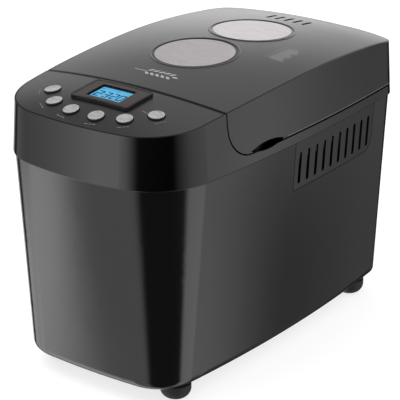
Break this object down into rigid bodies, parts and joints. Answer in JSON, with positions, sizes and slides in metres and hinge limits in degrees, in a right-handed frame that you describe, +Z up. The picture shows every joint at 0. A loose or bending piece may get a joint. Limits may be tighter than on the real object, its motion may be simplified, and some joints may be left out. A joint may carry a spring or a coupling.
{
  "type": "bread machine",
  "caption": "Long countertop bread machine with a hinged domed lid, round viewing windows, a front control panel with round keys, side vents and a lift-out bread pan with kneading paddles.",
  "frame": {"origin": "on the table surface under the middle of the casing", "axes": "+X is the machine's right, +Y its back, +Z up; the control panel is at the front, over -Y"},
  "size_m": [0.2398, 0.4318, 0.3135],
  "materials": {
    "shell_black": "gloss",
    "housing_black": "gloss",
    "panel_grey": "satin",
    "trim_black": "gloss",
    "window_smoke": "gloss",
    "display_smoke": "gloss",
    "lcd_blue": "satin",
    "key_silver": "satin",
    "vent_black": "matte",
    "board_green": "satin",
    "black_rubber": "matte",
    "zinc_steel": "satin",
    "bright_steel": "gloss",
    "aluminium": "satin",
    "bronze": "satin",
    "dark_plastic": "matte",
    "belt_rubber": "matte",
    "motor_iron": "matte",
    "non_stick": "satin",
    "silicone": "matte"
  },
  "bodies": {
    "casing": {"lower_shell": "shell_black", "upper_housing": "housing_black", "control_cover": "panel_grey", "display_bezel": "trim_black", "display_window": "display_smoke", "lcd_module": "lcd_blue", "control_board": "board_green", "side_vent_right": "vent_black", "side_vent_left": "vent_black", "base_plate": "zinc_steel", "feet": "black_rubber", "foot_fasteners": "bright_steel", "chassis": "zinc_steel", "shaft_bearings": "bronze", "chamber_standoffs": "zinc_steel", "motor_frame": "motor_iron", "main_belt": "belt_rubber", "sync_belt": "belt_rubber", "oven_chamber": "aluminium", "heating_element": "zinc_steel", "chamber_clips": "bright_steel", "heat_sensors": "bright_steel", "heat_shield": "aluminium", "power_board": "board_green", "motor_capacitor": "dark_plastic", "inlet_bush": "dark_plastic", "hinge_bracket": "zinc_steel", "hinge_pins": "bright_steel"},
    "lid": {"lid_shell": "housing_black", "lid_top_panel": "panel_grey", "lid_liner": "aluminium", "lid_seal": "silicone", "window_glass": "window_smoke", "window_gaskets": "trim_black", "inner_panes": "window_smoke"},
    "pan": {"bread_pan": "non_stick", "pan_foot_ring": "aluminium", "pan_fittings": "zinc_steel"},
    "bail": {"pan_handle": "bright_steel", "handle_grip": "dark_plastic"},
    "motor": {"motor_rotor": "motor_iron", "motor_pulley": "dark_plastic", "motor_fan": "dark_plastic"},
    "front_drive": {"drive_shaft_front": "zinc_steel", "drive_coupling_front": "zinc_steel", "main_pulley": "dark_plastic", "sync_pulley_front": "dark_plastic"},
    "rear_drive": {"drive_shaft_rear": "zinc_steel", "drive_coupling_rear": "zinc_steel", "sync_pulley_rear": "dark_plastic"},
    "front_shaft": {"pan_shaft_front": "zinc_steel"},
    "rear_shaft": {"pan_shaft_rear": "zinc_steel"},
    "front_paddle": {"paddle_front": "non_stick"},
    "rear_paddle": {"paddle_rear": "non_stick"},
    "key_1": {"button_1": "key_silver"},
    "key_2": {"button_2": "key_silver"},
    "key_3": {"button_3": "key_silver"},
    "key_4": {"button_4": "key_silver"},
    "key_5": {"button_5": "key_silver"},
    "key_6": {"button_6": "key_silver"}
  },
  "joints": [
    {"name": "lid_hinge", "type": "hinge", "parent": "casing", "child": "lid", "pos_m": [0, 0.2085, 0.244], "axis": [-1, 0, 0], "range_deg": [0, 80]},
    {"name": "pan_lift", "type": "slide", "parent": "casing", "child": "pan", "axis": [0, 0, 1], "range_m": [0, 0.06]},
    {"name": "bail_swing", "type": "hinge", "parent": "pan", "child": "bail", "pos_m": [0, 0.033, 0.197], "axis": [0, -1, 0], "range_deg": [0, 157]},
    {"name": "motor_spin", "type": "hinge", "parent": "casing", "child": "motor", "pos_m": [0, -0.146, 0.05], "axis": [0, 0, 1], "continuous": true},
    {"name": "front_drive_spin", "type": "hinge", "parent": "casing", "child": "front_drive", "pos_m": [0, -0.017, 0.05], "axis": [0, 0, 1], "continuous": true},
    {"name": "rear_drive_spin", "type": "hinge", "parent": "casing", "child": "rear_drive", "pos_m": [0, 0.083, 0.05], "axis": [0, 0, 1], "continuous": true},
    {"name": "front_shaft_spin", "type": "hinge", "parent": "pan", "child": "front_shaft", "pos_m": [0, -0.017, 0.08], "axis": [0, 0, 1], "continuous": true},
    {"name": "rear_shaft_spin", "type": "hinge", "parent": "pan", "child": "rear_shaft", "pos_m": [0, 0.083, 0.08], "axis": [0, 0, 1], "continuous": true},
    {"name": "front_paddle_lift", "type": "slide", "parent": "front_shaft", "child": "front_paddle", "axis": [0, 0, 1], "range_m": [0, 0.016]},
    {"name": "rear_paddle_lift", "type": "slide", "parent": "rear_shaft", "child": "rear_paddle", "axis": [0, 0, 1], "range_m": [0, 0.016]},
    {"name": "key_1_press", "type": "slide", "parent": "casing", "child": "key_1", "axis": [0.0973, 0.1303, -0.9867], "range_m": [0, 0.0012], "stiffness_N_per_m": 1500, "springref_m": -0.0008},
    {"name": "key_2_press", "type": "slide", "parent": "casing", "child": "key_2", "axis": [0.0651, 0.2, -0.9776], "range_m": [0, 0.0012], "stiffness_N_per_m": 1500, "springref_m": -0.0008},
    {"name": "key_3_press", "type": "slide", "parent": "casing", "child": "key_3", "axis": [0.0218, 0.2492, -0.9682], "range_m": [0, 0.0012], "stiffness_N_per_m": 1500, "springref_m": -0.0008},
    {"name": "key_4_press", "type": "slide", "parent": "casing", "child": "key_4", "axis": [-0.0218, 0.2492, -0.9682], "range_m": [0, 0.0012], "stiffness_N_per_m": 1500, "springref_m": -0.0008},
    {"name": "key_5_press", "type": "slide", "parent": "casing", "child": "key_5", "axis": [-0.0651, 0.2, -0.9776], "range_m": [0, 0.0012], "stiffness_N_per_m": 1500, "springref_m": -0.0008},
    {"name": "key_6_press", "type": "slide", "parent": "casing", "child": "key_6", "axis": [-0.0973, 0.1303, -0.9867], "range_m": [0, 0.0012], "stiffness_N_per_m": 1500, "springref_m": -0.0008}
  ],
  "couplings": [
    {"joint": "front_drive_spin", "follows": "motor_spin", "ratio": 0.2202},
    {"joint": "rear_drive_spin", "follows": "motor_spin", "ratio": 0.2202},
    {"joint": "front_shaft_spin", "follows": "motor_spin", "ratio": 0.2202},
    {"joint": "rear_shaft_spin", "follows": "motor_spin", "ratio": 0.2202}
  ]
}
